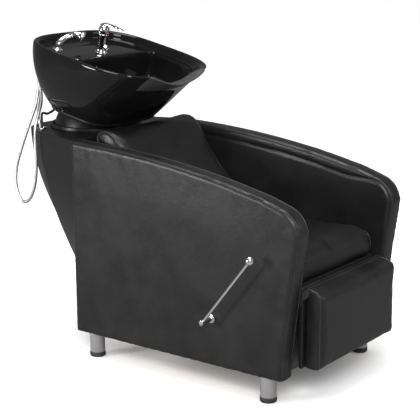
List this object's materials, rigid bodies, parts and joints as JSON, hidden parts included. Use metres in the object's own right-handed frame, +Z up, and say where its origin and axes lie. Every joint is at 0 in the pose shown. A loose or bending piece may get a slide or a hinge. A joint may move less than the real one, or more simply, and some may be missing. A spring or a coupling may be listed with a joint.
{
  "type": "shampoo backwash unit",
  "caption": "Salon backwash: padded tub chair with lever-raised leg rest, rear cabinet, and a tilting ceramic bowl with tap, hand shower and hanging hose.",
  "frame": {"origin": "on the floor under the middle of the unit's footprint, hanging hose left out", "axes": "+Z up, the sitter faces -Y, +X is the sitter's left-hand side"},
  "size_m": [0.6788, 1.2908, 1.0808],
  "materials": {
    "leather": "satin",
    "timber": "matte",
    "satin_chrome": "satin",
    "rubber": "matte",
    "shell_plastic": "satin",
    "black_plastic": "satin",
    "glaze": "gloss",
    "silicone": "satin",
    "chrome": "polished",
    "hose_chrome": "satin",
    "steel_braid": "satin",
    "zinc_steel": "satin",
    "raw_brass": "satin",
    "marker": "gloss"
  },
  "bodies": {
    "chair": {"edge_band_left": "leather", "edge_band_right": "leather", "outer_pad_left": "leather", "outer_pad_right": "leather", "inner_pad_left": "leather", "inner_pad_right": "leather", "seat_cushion": "leather", "back_cushion": "leather", "side_frame_left": "timber", "side_frame_right": "timber", "seat_front_rail": "timber", "lower_front_rail": "timber", "seat_rear_rail": "timber", "seat_board": "timber", "back_board": "timber", "leg_front_left": "satin_chrome", "leg_front_right": "satin_chrome", "leg_rear_left": "satin_chrome", "leg_rear_right": "satin_chrome", "foot_front_left": "rubber", "foot_front_right": "rubber", "foot_rear_left": "rubber", "foot_rear_right": "rubber", "rear_cabinet": "shell_plastic", "cabinet_deck": "shell_plastic", "bowl_collar": "shell_plastic", "bearing_left": "black_plastic", "bearing_right": "black_plastic", "hose_grommet": "chrome", "tilt_block_left": "zinc_steel", "tilt_block_right": "zinc_steel", "pivot_plate_left": "zinc_steel", "pivot_plate_right": "zinc_steel"},
    "bowl_unit": {"bowl": "glaze", "neck_rest": "silicone", "base_plate": "black_plastic", "tilt_cup": "black_plastic", "drain_flange": "chrome", "drain_tailpiece": "black_plastic", "tap_body": "chrome", "tap_nut": "raw_brass", "spray_holder": "chrome", "shower_hose": "hose_chrome", "supply_hose_hot": "steel_braid", "supply_hose_cold": "rubber"},
    "drain_strainer": {"strainer": "zinc_steel"},
    "tap_head": {"tap_cap": "chrome", "tap_marker": "marker"},
    "tap_handle": {"tap_lever": "chrome"},
    "shower_handset": {"hand_shower": "chrome", "spray_face": "rubber"},
    "hand_lever": {"lever_shaft": "chrome", "lever_collar": "chrome", "lever_rod": "chrome", "lever_ball": "chrome", "crank_arm": "zinc_steel"},
    "push_link": {"link_bar": "zinc_steel"},
    "leg_rest": {"leg_rest_board": "timber", "leg_rest_pad": "leather", "leg_rest_frame": "zinc_steel"}
  },
  "joints": [
    {"name": "bowl_tilt", "type": "hinge", "parent": "chair", "child": "bowl_unit", "pos_m": [0.0293, 0.4386, 0.7], "axis": [1, 0, 0], "range_deg": [-6, 3]},
    {"name": "strainer_lift", "type": "slide", "parent": "bowl_unit", "child": "drain_strainer", "axis": [0, -0.2171, 0.9761], "range_m": [0, 0.05]},
    {"name": "tap_swivel", "type": "hinge", "parent": "bowl_unit", "child": "tap_head", "pos_m": [0.0293, 0.39197, 1.04385], "axis": [0, -0.2171, 0.9761], "range_deg": [-45, 45]},
    {"name": "tap_lift", "type": "hinge", "parent": "tap_head", "child": "tap_handle", "pos_m": [0.0293, 0.38904, 1.05703], "axis": [-1, 0, 0], "range_deg": [0, 25]},
    {"name": "shower_lift", "type": "slide", "parent": "bowl_unit", "child": "shower_handset", "axis": [0, -0.2171, 0.9761], "range_m": [0, 0.045]},
    {"name": "lever_turn", "type": "hinge", "parent": "chair", "child": "hand_lever", "pos_m": [0.0293, -0.2954, 0.236], "axis": [-1, 0, 0], "range_deg": [0, 75]},
    {"name": "link_turn", "type": "hinge", "parent": "hand_lever", "child": "push_link", "pos_m": [0.0293, -0.2504, 0.116], "axis": [-1, 0, 0], "range_deg": [-75, 0]},
    {"name": "leg_rest_turn", "type": "hinge", "parent": "chair", "child": "leg_rest", "pos_m": [0.0293, -0.5844, 0.348], "axis": [-1, 0, 0], "range_deg": [0, 75]}
  ],
  "couplings": [
    {"joint": "leg_rest_turn", "follows": "lever_turn", "ratio": 1},
    {"joint": "link_turn", "follows": "lever_turn", "ratio": -1}
  ]
}
